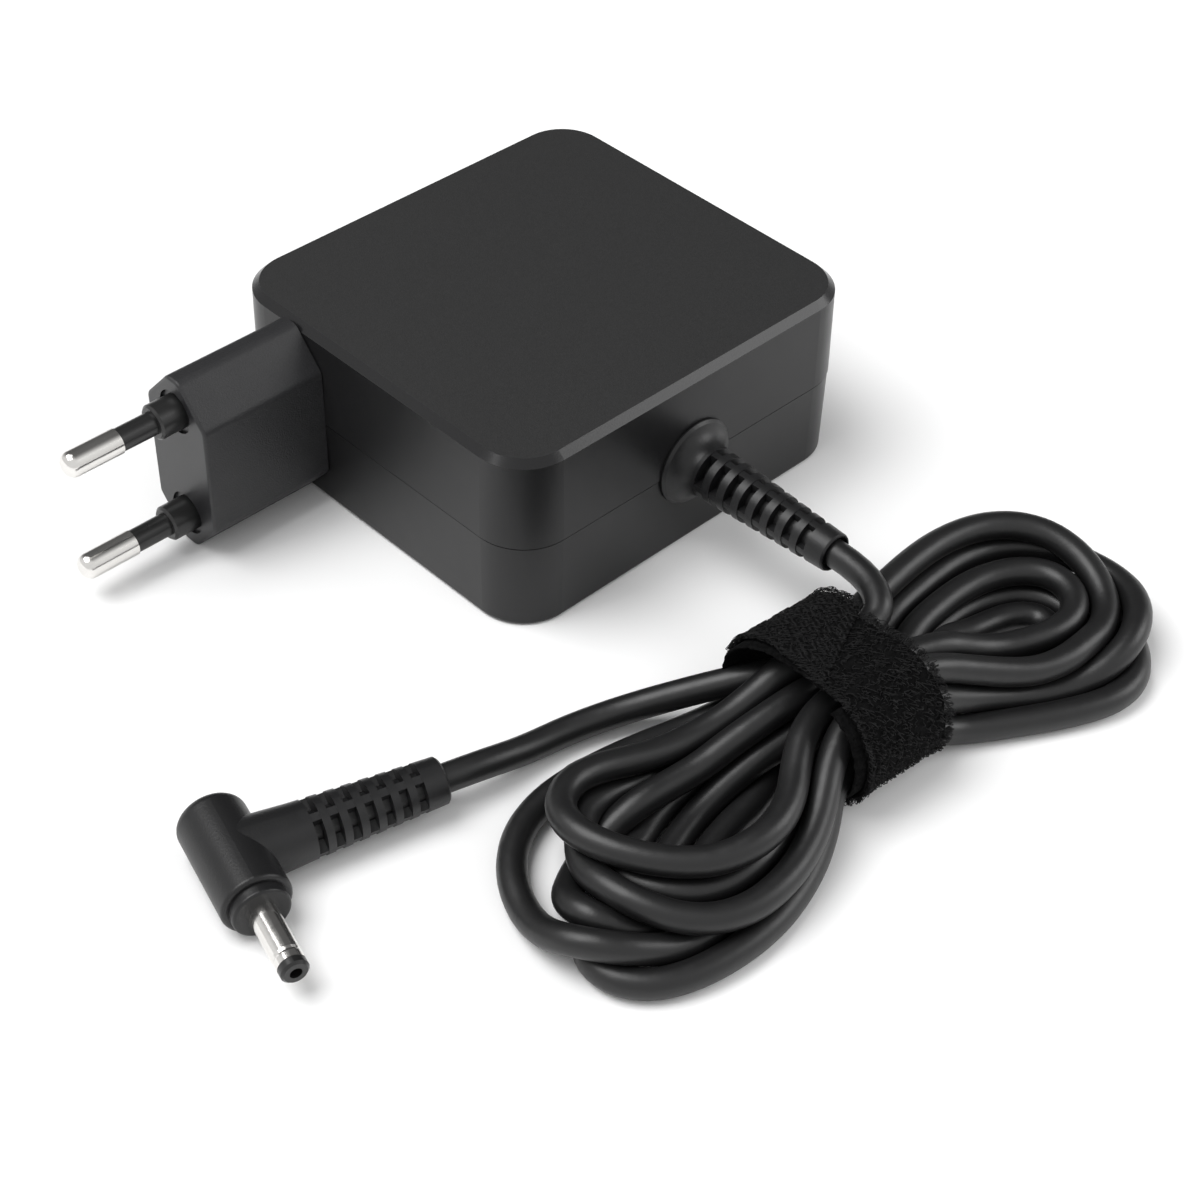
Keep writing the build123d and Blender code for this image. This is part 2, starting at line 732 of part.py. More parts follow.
with BuildPart() as transformer_winding:
    with BuildSketch(Plane.XY.offset(board_top + core_yoke + winding_gap)):
        with Locations(core_at):
            winding_x = core_leg + 2 * window_x - 2 * winding_gap
            RectangleRounded(winding_x, core_y + 2 * window_x, winding_corner_r)
            Rectangle(core_leg + 2 * winding_gap, core_y + 2 * winding_gap, mode=Mode.SUBTRACT)
    extrude(amount=window_h - 2 * winding_gap)
transformer_winding.part.label = "transformer_winding"
export_step(transformer_winding.part, "parts/transformer_winding.step")

bulk_end = (board_left + bulk_from_left, board_front + bulk_from_front, board_top + bulk_r)
with BuildPart() as bulk_capacitor:
    with BuildSketch(Plane(bulk_end, x_dir=(1, 0, 0), z_dir=(0, 1, 0))):
        Circle(bulk_r)
    extrude(amount=bulk_length)
    fillet(bulk_capacitor.faces().filter_by(GeomType.PLANE).edges(), can_edge_r)
bulk_capacitor.part.label = "bulk_capacitor"
export_step(bulk_capacitor.part, "parts/bulk_capacitor.step")

choke_at = (board_left + choke_from_left, board_back - choke_from_back)
with BuildPart() as choke_core:
    with BuildSketch(Plane.XY.offset(board_top + choke_wire)):
        with Locations(choke_at):
            Circle(choke_r)
            Circle(choke_hole_r, mode=Mode.SUBTRACT)
    extrude(amount=choke_h)
choke_core.part.label = "choke_core"
export_step(choke_core.part, "parts/choke_core.step")

with BuildPart() as choke_windings:
    with BuildSketch(Plane.XY.offset(board_top)):
        with Locations(choke_at):
            Circle(choke_r + choke_wire)
            Circle(choke_hole_r - choke_wire, mode=Mode.SUBTRACT)
            Rectangle(choke_gap_w, 2 * (choke_r + choke_wire + cutter_over), mode=Mode.SUBTRACT)
    extrude(amount=choke_h + 2 * choke_wire)
    with BuildSketch(Plane.XY.offset(board_top + choke_wire)):
        with Locations(choke_at):
            Circle(choke_r)
            Circle(choke_hole_r, mode=Mode.SUBTRACT)
    extrude(amount=choke_h, mode=Mode.SUBTRACT)
choke_windings.part.label = "choke_windings"
export_step(choke_windings.part, "parts/choke_windings.step")

# Moulded bodies and heatsinks that stand on the board: middle and size.
primary_sink_x = board_left + 20.5
primary_sink_y = board_front + 15.25
secondary_sink_x = board_right - 21.0
secondary_sink_y = board_back - 8.75
blocks = {
    "x_capacitor": ((board_left + 15.0, board_back - 5.75), x_capacitor_size),
    "bridge_rectifier": ((board_right - 17.5, board_front + 3.75), bridge_size),
    "optocoupler": ((board_right - 15.5, board_front + 10.75), optocoupler_size),
    "primary_heatsink": (
        (primary_sink_x, primary_sink_y),
        (heatsink_t, primary_heatsink_w, heatsink_h),
    ),
    "secondary_heatsink": (
        (secondary_sink_x, secondary_sink_y),
        (secondary_heatsink_w, heatsink_t, heatsink_h),
    ),
}
for name, (middle, size) in blocks.items():
    with BuildPart() as block:
        with BuildSketch(Plane.XY.offset(board_top)):
            with Locations(middle):
                RectangleRounded(size[0], size[1], moulded_edge_r)
        extrude(amount=size[2])
    block.part.label = name
    export_step(block.part, f"parts/{name}.step")

# Cans and discs that stand on the board: middles, radius and height.
right_row_x = board_right - 5.5
can_y = board_front + 19.25
cans = {
    "mains_fuse": ([(board_left + 3.5, board_back - 8.75)], fuse_r, fuse_h),
    "output_capacitors": (
        [(right_row_x, can_y), (right_row_x, can_y + output_can_spacing)],
        output_can_r,
        output_can_h,
    ),
    "output_choke": ([(right_row_x, board_back - 15.25)], output_choke_r, output_choke_h),
}
for name, (middles, radius, height) in cans.items():
    with BuildPart() as can:
        with BuildSketch(Plane.XY.offset(board_top)):
            with Locations(*middles):
                Circle(radius)
        extrude(amount=height)
        fillet(can.edges().group_by(Axis.Z)[-1], can_edge_r)
    can.part.label = name
    export_step(can.part, f"parts/{name}.step")

disc_at = (board_right - 26.5, board_front + 12.75, board_top + lead_stand + y_capacitor_r)
with BuildPart() as y_capacitor:
    with BuildSketch(Plane(disc_at, x_dir=(1, 0, 0), z_dir=(0, 1, 0))):
        Circle(y_capacitor_r)
    extrude(amount=y_capacitor_t)
    fillet(y_capacitor.edges(), can_edge_r)
y_capacitor.part.label = "y_capacitor"
export_step(y_capacitor.part, "parts/y_capacitor.step")

transistor_at = (primary_sink_x + (heatsink_t + device_t) / 2, board_front + 11.25)
with BuildPart() as switching_transistor:
    with BuildSketch(Plane.XY.offset(board_top + lead_stand)):
        with Locations(transistor_at):
            Rectangle(device_t, device_w)
    extrude(amount=device_h)
    chamfer(switching_transistor.faces().sort_by(Axis.X)[-1].edges(), device_chamfer)
switching_transistor.part.label = "switching_transistor"
export_step(switching_transistor.part, "parts/switching_transistor.step")

rectifier_at = (secondary_sink_x, secondary_sink_y + (heatsink_t + device_t) / 2)
with BuildPart() as output_rectifier:
    with BuildSketch(Plane.XY.offset(board_top + lead_stand)):
        with Locations(rectifier_at):
            Rectangle(device_w, device_t)
    extrude(amount=device_h)
    chamfer(output_rectifier.faces().sort_by(Axis.Y)[-1].edges(), device_chamfer)
output_rectifier.part.label = "output_rectifier"
export_step(output_rectifier.part, "parts/output_rectifier.step")

with BuildPart() as controller_chip:
    with BuildSketch(Plane.XY.offset(board_under)):
        Rectangle(chip_size[0], chip_size[1])
    extrude(amount=-chip_size[2])
controller_chip.part.label = "controller_chip"
export_step(controller_chip.part, "parts/controller_chip.step")

with BuildPart() as heat_spreader:
    with BuildSketch(Plane.XY.offset(spreader_top - spreader_t)):
        with Locations(board_middle):
            spreader_x = board_x - 2 * spreader_inset
            spreader_y = board_y - 2 * spreader_inset
            RectangleRounded(spreader_x, spreader_y, spreader_corner_r)
    extrude(amount=spreader_t)
heat_spreader.part.label = "heat_spreader"
export_step(heat_spreader.part, "parts/heat_spreader.step")

with BuildPart() as thermal_pad:
    with BuildSketch(Plane.XY.offset(core_top)):
        with Locations(core_at):
            Rectangle(core_x, core_y)
    extrude(amount=pad_t)
thermal_pad.part.label = "thermal_pad"
export_step(thermal_pad.part, "parts/thermal_pad.step")

# The mains wires run from the pins' roots through the plug's hollow to the board's edge, and
# the output wires from the end of the cord's jacket down to the board.
upper_pin_z = case_z / 2 + pin_spacing / 2
lower_pin_z = case_z / 2 - pin_spacing / 2
pin_root_x = pin_base[0] + pin_root
cord_end_y = -case_y / 2 - cord_end
mains_wires = [
    [
        (pin_root_x, plug_y, upper_pin_z),
        (pin_root_x + 9.0, plug_y, upper_pin_z),
        (board_left - 2.5, plug_y - 0.5, board_top + 14.4),
        (board_left + 0.8, plug_y - 2.6, board_top + 7.4),
        (board_left + 0.8, plug_y - 2.6, board_top),
    ],
    [
        (pin_root_x, plug_y, lower_pin_z),
        (pin_root_x + 6.0, plug_y, lower_pin_z),
        (board_left - 6.5, plug_y - 0.4, board_top + 1.4),
        (board_left - 1.0, plug_y - 4.0, board_top + 4.4),
        (board_left + 0.9, plug_y - 6.2, board_top + 3.0),
        (board_left + 0.9, plug_y - 6.2, board_top),
    ],
]
output_wires = [
    [
        (start_x, cord_end_y, seam_z),
        (start_x, cord_end_y + 2.5, seam_z),
        (start_x + 0.95, cord_end_y + 4.0, board_top + 5.4),
        (start_x + 0.95, cord_end_y + 4.0, board_top),
    ]
    for start_x in (wire_spacing / 2, -wire_spacing / 2)
]
for name, routes in (("mains_wires", mains_wires), ("output_wires", output_wires)):
    runs = [tube(route, bend_radii(route), wire_r).part for route in routes]
    with BuildPart() as wires:
        add(runs)
    wires.part.label = name
    export_step(wires.part, f"parts/{name}.step")
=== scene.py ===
import json
import math

import bmesh
import bpy
import numpy as np
from mathutils import Matrix, Vector


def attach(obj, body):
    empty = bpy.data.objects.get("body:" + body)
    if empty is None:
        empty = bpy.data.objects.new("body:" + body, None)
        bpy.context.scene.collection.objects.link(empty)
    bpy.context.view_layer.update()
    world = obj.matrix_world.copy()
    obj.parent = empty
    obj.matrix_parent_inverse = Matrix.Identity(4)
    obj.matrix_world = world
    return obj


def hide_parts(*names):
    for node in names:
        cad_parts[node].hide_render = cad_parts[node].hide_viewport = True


MM = 0.001
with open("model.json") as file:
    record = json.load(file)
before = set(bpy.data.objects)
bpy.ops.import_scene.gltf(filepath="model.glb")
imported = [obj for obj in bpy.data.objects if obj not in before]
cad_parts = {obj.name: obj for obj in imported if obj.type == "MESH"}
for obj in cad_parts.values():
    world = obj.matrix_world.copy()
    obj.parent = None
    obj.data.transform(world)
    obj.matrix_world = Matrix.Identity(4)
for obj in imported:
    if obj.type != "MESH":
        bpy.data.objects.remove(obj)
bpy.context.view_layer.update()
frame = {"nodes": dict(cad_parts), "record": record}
scene = bpy.context.scene

# ------------------------------------------------------------------ camera
AZIMUTH, ELEVATION, ROLL = -44.90, 42.58, 1.63
CAMERA_AT = Vector((-0.2005, -0.2149, 0.2353))


def camera_axes(azimuth, elevation, roll):
    """Right, up and back directions of a camera that looks at the object from that side."""
    a, e, r = (math.radians(v) for v in (azimuth, elevation, roll))
    back = Vector((math.sin(a) * math.cos(e), -math.cos(a) * math.cos(e), math.sin(e)))
    right = Vector((math.cos(a), math.sin(a), 0))
    up = back.cross(right)
    return (math.cos(r) * right + math.sin(r) * up, math.cos(r) * up - math.sin(r) * right, back)


camera = bpy.data.objects.new("camera", bpy.data.cameras.new("camera"))
scene.collection.objects.link(camera)
camera.data.lens = 70.86
camera.data.sensor_width = 36
camera.data.clip_start, camera.data.clip_end = 0.01, 20
camera_turn = Matrix(camera_axes(AZIMUTH, ELEVATION, ROLL)).transposed().to_4x4()
camera.matrix_world = Matrix.Translation(CAMERA_AT) @ camera_turn
scene.camera = camera

# ------------------------------------------------------------------ the cord
CORD_R = 2.1                                    # mm, as all of the cord's sizes are
HANK_AT = np.array([-15.3, -76.0, 0.0])         # the strap's middle on the table
HANK_TURN = math.radians(-12.3)
ALONG = np.array([math.cos(HANK_TURN), math.sin(HANK_TURN), 0])
ACROSS = np.array([-math.sin(HANK_TURN), math.cos(HANK_TURN), 0])
UP = np.array([0, 0, 1.0])
STRAP_HALF = 8.0                                # half the strap's width
STRAP_IN = (12.6, 7.7)                          # half its inside size, across and up
STRAP_FLOOR = 1.5                               # the strap's lower layer, under the cord
STRAP_CORNER = 7.4
STRAP_MOUTH = 0.5                               # the cord is held in this far past the strap's edges
STRAP_SLACK = 0.1                               # between the cord and the strap's inner side

# How the cord is laid down, a round at a time.
SIDE_GAP = 0.25                                 # mm between two stretches that lie side by side
SEARCH_EVERY = 8                                # rounds between two searches for near stretches
SEARCH_MARGIN = 2.5                             # mm
OWN_STRETCH = 2.2                               # gaps along the cord within which it isn't pushed from itself
SINK = 0.03                                     # mm down
AIM_PULL = 0.03                                 # share of the way back to the chosen line
AIM_SHARES = np.array([1, 1, 0.15])             # of that pull, along each axis
BEND_SOFTNESS = 12                              # higher evens the bends out less

# The leads, from the CAD part's points: its last one on the short lead is left out, and the first three of
# the free lead are moved by up to 0.9 mm to clear this strap.
LEAD_IN = [(0, -60.5, 15.0), (0, -66.5, 15.0), (-3.0, -71.8, 14.6)]
LEAD_OUT = [(-15.2, -69.6, 9.0), (-21.9, -65.6, 8.9), (-27.8, -60.2, 6.2), (-34.6, -54.6, 3.2),
            (-42.5, -51.6, 2.5), (-50.5, -50.6, 2.9), (-57.69, -50.1, 4.9), (-63.47, -48.51, 4.9)]

# The hank's loops, each from the strap and back to it: along, across and height, from the strap's middle.
LOOPS = [
    [(-8, 4.4, 13.5), (-22.5, 3.0, 14), (-36, 4.6, 13), (-42.5, 2.8, 12.6), (-45.6, -2.2, 12.5),
     (-43.8, -8.4, 12.5), (-39.8, -13, 12.5), (-32, -17.6, 12.5), (-23.5, -17.4, 12.5),
     (-15.5, -12, 12.6), (-8, -4.3, 12.8)],
    [(8, 0, 12.6), (17, 0.0, 9.5), (26, -1.6, 7.5), (34, -3.6, 6.6), (40, -3.0, 6.4), (43.6, 0.8, 6.3),
     (43, 6.2, 6.3), (38, 9.8, 6.4), (30, 10.4, 6.8), (19, 7.3, 7.6), (8, 2.2, 8.3)],
    [(-8, 0, 12.6), (-21.2, 0.2, 9), (-34, -1.6, 6.5), (-42.5, -3.6, 5), (-48.2, -7.8, 4.6),
     (-49.4, -12.6, 5.6), (-46.4, -16.9, 6.2), (-40.5, -17.6, 5), (-34, -14.3, 3.2), (-26, -8.2, 2.6),
     (-16, -3.8, 3.4), (-8, 0, 3.8)],
    [(8, 0, 3.8), (18, 1.6, 2.4), (28, 0.4, 2.1), (36, -0.6, 2.1), (40.3, 1.8, 2.1), (39.6, 6.6, 2.1),
     (34, 8.4, 2.1), (24, 6, 3), (15, 1.6, 6.5), (8, -2.2, 8.3)],
    [(-8, -2.2, 8.3), (-21.7, -3.4, 6.5), (-33, -7.2, 4), (-43, -10.6, 2.1), (-49.4, -13.6, 2.1),
     (-51.2, -18.6, 2.1), (-47.4, -23.2, 2.1), (-40.3, -25.7, 2.1), (-31, -24.4, 2.2),
     (-20.2, -19.5, 3.5), (-13.7, -15.5, 5.5), (-8, -11, 7.8)],
    [(8, -8.7, 3.8), (20.3, -9, 2.3), (30.5, -13.2, 2.1), (40.5, -13.4, 2.1), (47.2, -8, 2.1),
     (49, -0.5, 2.1), (46.6, 7.6, 2.1), (40.5, 12, 2.3), (30, 12.6, 2.8), (17, 10.2, 3.4),
     (8, 8.7, 3.8)],
    [(-8, 8.7, 3.8), (-22, 10.3, 2.6), (-36.8, 9.8, 2.3), (-46.5, 6.4, 2.3), (-52.4, -1, 2.3),
     (-53.8, -10, 3.2), (-50.8, -18.6, 6.2), (-43.5, -22, 5.6), (-32, -21.6, 4), (-18, -15.5, 3.6),
     (-8, -8.7, 3.8)],
    [(8, -4.4, 3.8), (17, -2.4, 4), (26, -3.8, 5), (34, -5, 6), (40.6, -3, 6.3), (43, 2.2, 3.2),
     (41, 7.6, 2.6), (34, 10.8, 2.6), (24, 8.6, 3), (15, 6, 3.5), (8, 4.4, 3.8)],
    [(-8, 2.2, 8.3), (-20, 2.2, 6), (-32, -0.6, 4.2), (-39.6, -3.8, 4.6), (-42.6, -9, 6),
     (-40.2, -14.6, 6.6), (-33, -18.2, 6.6), (-24.5, -18, 7.4), (-15, -12.5, 8.2), (-8, -6.6, 8.3)],
    [(8, -6.6, 8.3), (19, -7.9, 7), (30, -11.4, 6.3), (40.5, -12, 6.3), (47.6, -7.6, 6.3),
     (50.2, 0, 6.3), (48, 8.6, 6.3), (40.8, 14.8, 6.8), (31, 15.6, 7.2), (19, 11, 7.8), (8, 6.6, 8.3)],
    [(-8, 6.6, 8.3), (-20, 4.8, 9), (-32, 2.6, 9), (-40, -0.8, 8.5), (-45.2, -7, 8.5), (-45.2, -14, 8.6),
     (-40, -20.4, 9.8), (-31, -23.8, 10.3), (-21.8, -20.8, 10.8), (-13.8, -14.4, 12), (-8, -8.7, 12.8)],
    [(8, -4.3, 12.6), (19, -6, 11.8), (30, -9.2, 11), (40.8, -7.2, 10.8), (47, 0.4, 10.8),
     (47.4, 9.4, 10.8), (41.4, 15.8, 10.8), (31, 16.6, 11), (19, 13.6, 12), (8, 8.9, 12.2)],
]


def to_world(points):
    """Points along, across and above the hank's middle, in the row frame."""
    p = np.asarray(points, float)
    return HANK_AT + p[:, :1] * ALONG + p[:, 1:2] * ACROSS + p[:, 2:] * UP


def to_hank(points):
    """The other way: points in the row frame, along, across and above the hank's middle."""
    q = np.asarray(points, float) - HANK_AT
    return np.stack([q @ ALONG, q @ ACROSS, q[:, 2]], 1)


def through(points, step):
    """Points a step apart on a smooth line through given ones, and how far along it each given one is."""
    p = np.asarray(points, float)
    p = np.vstack([2 * p[0] - p[1], p, 2 * p[-1] - p[-2]])
    parts, at = [], [0.0]
    for a, b, c, d in zip(p, p[1:], p[2:], p[3:]):
        k0, k1, k2 = (math.sqrt(np.linalg.norm(v)) for v in (b - a, c - b, d - c))
        m1 = k1 * ((b - a) / k0 - (c - a) / (k0 + k1) + (c - b) / k1)
        m2 = k1 * ((c - b) / k1 - (d - b) / (k1 + k2) + (d - c) / k2)
        t = np.linspace(0, 1, 25)[:, None]
        part = (2 * t**3 - 3 * t**2 + 1) * b + (t**3 - 2 * t**2 + t) * m1
        part = part + (3 * t**2 - 2 * t**3) * c + (t**3 - t**2) * m2
        at.append(at[-1] + np.linalg.norm(np.diff(part, axis=0), axis=1).sum())
        parts.append(part[:-1])
    line = np.vstack(parts + [p[-2:-1]])
    far = np.r_[0, np.cumsum(np.linalg.norm(np.diff(line, axis=0), axis=1))]
    spots = np.linspace(0, far[-1], int(round(far[-1] / step)) + 1)
    return np.stack([np.interp(spots, far, line[:, k]) for k in range(3)], 1), at


def inside_strap(p):
    """Pushes the points within the strap's width clear of the strap's inner side, in place."""
    near = np.abs(p[:, 0]) < STRAP_HALF + STRAP_MOUTH
    middle = STRAP_FLOOR + STRAP_IN[1]
    q = np.stack([p[:, 1], p[:, 2] - middle], 1)
    limit = np.array(STRAP_IN) - STRAP_CORNER
    core = np.clip(q, -limit, limit)
    off = q - core
    size = np.linalg.norm(off, axis=1)
    most = STRAP_CORNER - CORD_R - STRAP_SLACK
    out = near & (size > most)
    q[out] = core[out] + off[out] * (most / size[out])[:, None]
    p[:, 1], p[:, 2] = q[:, 0], q[:, 1] + middle


def settle(line, fixed, step, rounds=1500):
    """Lays the cord down: it is drawn to keep its length and bend evenly, pushed a diameter from itself, and
    sinks onto what is below it."""
    gap = 2 * CORD_R + SIDE_GAP
    x, aim = line.copy(), line.copy()
    for turn in range(rounds):
        if turn % SEARCH_EVERY == 0:
            apart = np.linalg.norm(x[:, None] - x[None], axis=2)
            i, j = np.where(np.triu(apart < gap + SEARCH_MARGIN, 4))
            keep = (j - i) * step > OWN_STRETCH * gap
            i, j = i[keep], j[keep]
        x[:, 2] -= SINK
        x += AIM_PULL * (aim - x) * AIM_SHARES
        curl = np.zeros_like(x)
        curl[2:-2] = x[:-4] - 4 * x[1:-3] + 6 * x[2:-2] - 4 * x[3:-1] + x[4:]
        x -= curl / BEND_SOFTNESS
        for _ in range(2):
            e = np.diff(x, axis=0)
            size = np.linalg.norm(e, axis=1, keepdims=True)
            pull = (size - step) / size * e / 4
            x[:-1] += pull
            x[1:] -= pull
        for _ in range(3):
            e = x[j] - x[i]
            size = np.linalg.norm(e, axis=1)
            hit = size < gap
            push = e[hit] * ((gap - size[hit]) / np.maximum(size[hit], 1e-6) / 4)[:, None]
            np.add.at(x, j[hit], push)
            np.add.at(x, i[hit], -push)
            inside_strap(x)
            x[:, 2] = np.maximum(x[:, 2], CORD_R)
        x[fixed] = aim[fixed]
    return x


STEP = 2.5
knots = list(to_hank(LEAD_IN)) + [p for loop in LOOPS for p in loop] + list(to_hank(LEAD_OUT))
line, far_along = through(knots, STEP)
along_it = np.arange(len(line)) * STEP
hank_from, hank_to = far_along[len(LEAD_IN) - 1], far_along[-len(LEAD_OUT)]
held = (along_it < hank_from) | (along_it > hank_to)
settled = settle(line, held, STEP)
hank = settled[(along_it > hank_from + STEP) & (along_it < hank_to - STEP)][::2]
route = LEAD_IN + [tuple(p) for p in to_world(hank)] + LEAD_OUT

curve = bpy.data.curves.new("cord", "CURVE")
curve.dimensions = "3D"
spline = curve.splines.new("NURBS")
spline.points.add(len(route) - 1)
for point, place in zip(spline.points, route):
    point.co = (place[0] * MM, place[1] * MM, place[2] * MM, 1)
spline.order_u = 3
spline.use_endpoint_u = True
spline.resolution_u = 4
curve.bevel_depth = CORD_R * MM
curve.bevel_resolution = 7
curve.resolution_u = 4
cord = bpy.data.objects.new("cord", curve)
scene.collection.objects.link(cord)

# ------------------------------------------------------------------ the strap
# One hook-and-loop tape, wound nearly two turns round the hank. Its turns count from the middle of its
# bottom up the back, over the top and down the front. All sizes are in mm.
STRAP_TURN = math.radians(8.3)                  # the strap sits askew on the hank
STRAP_OUT = (14.1, 9.2)                         # half its outside size, across and up
STRAP_OUT_CORNER = 8.9
TAPE_T = 0.62
TAPE_W = 14.6
TAPE_FROM, TAPE_TO = 0.60, 2.50                 # turns
INNER_INSET, OUTER_INSET = 1.08, 0.42           # of the tape's middle from the strap's outside
INNER_SHIFT = -2.0                              # the inner turn sits this far to the left of the outer one
TAPE_ASIDE = -0.8                               # the outer turn's middle from the hank's
END_SLANT = 0.10                                # turns between the two corners of the tape's outer end
LAP_FROM, LAP_TO = 1.28, 1.62                   # turns over which the tape climbs onto its inner turn
END_LIFT = 0.25                                 # of the outer end off the turn below it
END_LIFT_FROM, END_LIFT_TO = 2.2, 2.45          # turns
STATIONS = 300
WANDER, EDGE_WEAR = 0.22, 0.10                  # how far the tape and its edges stray sideways
WANDER_KNOTS = 34
LOOPS_OF_PILE = 4600
PILE_R = 0.055
PILE_FROM = 0.47                                # share of the tape's length where its pile begins
PILE_AT_RIM = 0.26                              # share of the loops that stand on the tape's edges
PILE_WOVEN = 2.12                               # turns past which the pile is short, on the woven end
PILE_POINTS, PILE_SIDES = 7, 3                  # of each loop
TURNS_A_MM = 1 / 92.0                           # about this, round the strap
TABLE_GAP = 0.02                                # the least height of the pile above the table


def smooth_step(value, low, high):
    t = np.clip((np.asarray(value, float) - low) / (high - low), 0, 1)
    return t * t * (3 - 2 * t)


def round_box(turn, inset):
    """Places on a rounded box, across and up, at a number of turns from its bottom's middle."""
    half = np.array(STRAP_OUT) - STRAP_OUT_CORNER
    arc = math.pi / 2 * STRAP_OUT_CORNER
    edge = np.cumsum([half[0], arc, 2 * half[1], arc, 2 * half[0], arc, 2 * half[1], arc, half[0]])
    d = (np.asarray(turn, float) % 1.0) * edge[-1]
    side = np.searchsorted(edge, d, side="right").clip(0, 8)
    into = d - np.concatenate([[0], edge])[side]
    signs = np.array([[1, -1], [1, -1], [1, 1], [1, 1], [-1, 1], [-1, 1], [-1, -1], [-1, -1], [-1, -1]])
    start = np.radians([-90, -90, 0, 0, 90, 90, 180, 180, 270])
    angle = start[side] + np.where(side % 2 == 1, into / STRAP_OUT_CORNER, 0)
    out = np.stack([np.cos(angle), np.sin(angle)], -1)
    core = half * signs[side]
    ahead = np.stack([-out[..., 1], out[..., 0]], -1)
    begin = np.where((side == 0)[..., None], [0, -half[1]], core)
    begin = np.where((side == 2)[..., None], [half[0], -half[1]], begin)
    begin = np.where((side == 4)[..., None], [half[0], half[1]], begin)
    begin = np.where((side == 6)[..., None], [-half[0], half[1]], begin)
    straight = np.where(side % 2 == 0, into, 0)[..., None]
    place = begin + ahead * straight + out * (STRAP_OUT_CORNER - np.asarray(inset)[..., None])
    return place + [0, STRAP_OUT[1]]


def tape_point(turn, aside, lift):
    """Points of the tape in the row frame, metres, at turns, sideways and lifted from its middle."""
    outer = smooth_step(turn, LAP_FROM, LAP_TO)
    inset = INNER_INSET + (OUTER_INSET - INNER_INSET) * outer
    inset = inset - END_LIFT * smooth_step(turn, END_LIFT_FROM, END_LIFT_TO)
    place = round_box(turn, inset - lift)
    along = aside + TAPE_ASIDE + INNER_SHIFT * (1 - outer)
    axis = math.cos(STRAP_TURN) * ALONG + math.sin(STRAP_TURN) * ACROSS
    across = math.cos(STRAP_TURN) * ACROSS - math.sin(STRAP_TURN) * ALONG
    world = HANK_AT + np.multiply.outer(along, axis) + np.multiply.outer(place[..., 0], across)
    world = world + np.multiply.outer(place[..., 1], UP)
    return world * MM


def tape_turn(share, aside):
    """The turn at a share of the tape's length: its outer end is cut on a slant."""
    end = TAPE_TO - END_SLANT * (aside / TAPE_W)
    return TAPE_FROM + (end - TAPE_FROM) * share


def mesh_of(name, verts, faces, uvs):
    """A smooth-shaded piece, with one texture place a vertex."""
    mesh = bpy.data.meshes.new(name)
    mesh.from_pydata(verts.tolist(), [], faces)
    layer = mesh.uv_layers.new(name="tape")
    corner_verts = np.empty(len(mesh.loops), np.int32)
    mesh.loops.foreach_get("vertex_index", corner_verts)
    layer.data.foreach_set("uv", uvs[corner_verts].ravel())
    mesh.polygons.foreach_set("use_smooth", [True] * len(mesh.polygons))
    piece = bpy.data.objects.new(name, mesh)
    scene.collection.objects.link(piece)
    return piece


def tape(name):
    """The tape itself, with rounded and slightly worn edges."""
    rng = np.random.default_rng(7)
    half_w, half_t = TAPE_W / 2, TAPE_T / 2
    asides = np.linspace(-half_w + half_t, half_w - half_t, 15)
    top, bottom = [(a, half_t) for a in asides], [(a, -half_t) for a in asides[::-1]]
    ring = np.array(top + [(half_w, 0.0)] + bottom + [(-half_w, 0.0)])
    shares = np.linspace(0, 1, STATIONS)
    wander = WANDER * np.interp(shares, np.linspace(0, 1, WANDER_KNOTS), rng.normal(0, 1, WANDER_KNOTS))
    edge_wear = EDGE_WEAR * rng.normal(0, 1, (STATIONS, 2))
    share, aside = np.meshgrid(shares, ring[:, 0], indexing="ij")
    rim = np.abs(ring[:, 0])[None] / half_w
    aside = aside + wander[:, None] + np.where(aside > 0, edge_wear[:, :1], edge_wear[:, 1:]) * rim ** 4
    lift = np.broadcast_to(ring[:, 1], aside.shape) * (1 - 0.25 * rim ** 8)
    verts = tape_point(tape_turn(share, aside), aside, lift)
    count = len(ring)
    k = np.arange(STATIONS * count).reshape(STATIONS, count)
    quads = np.stack([k[:-1], np.roll(k, -1, 1)[:-1], np.roll(k, -1, 1)[1:], k[1:]], -1).reshape(-1, 4)
    faces = [tuple(q[::-1]) for q in quads] + [tuple(k[0]), tuple(k[-1][::-1])]
    uvs = np.stack([share, np.broadcast_to(ring[:, 0] / TAPE_W + 0.5, share.shape)], -1).reshape(-1, 2)
    return mesh_of(name, verts.reshape(-1, 3), faces, uvs)


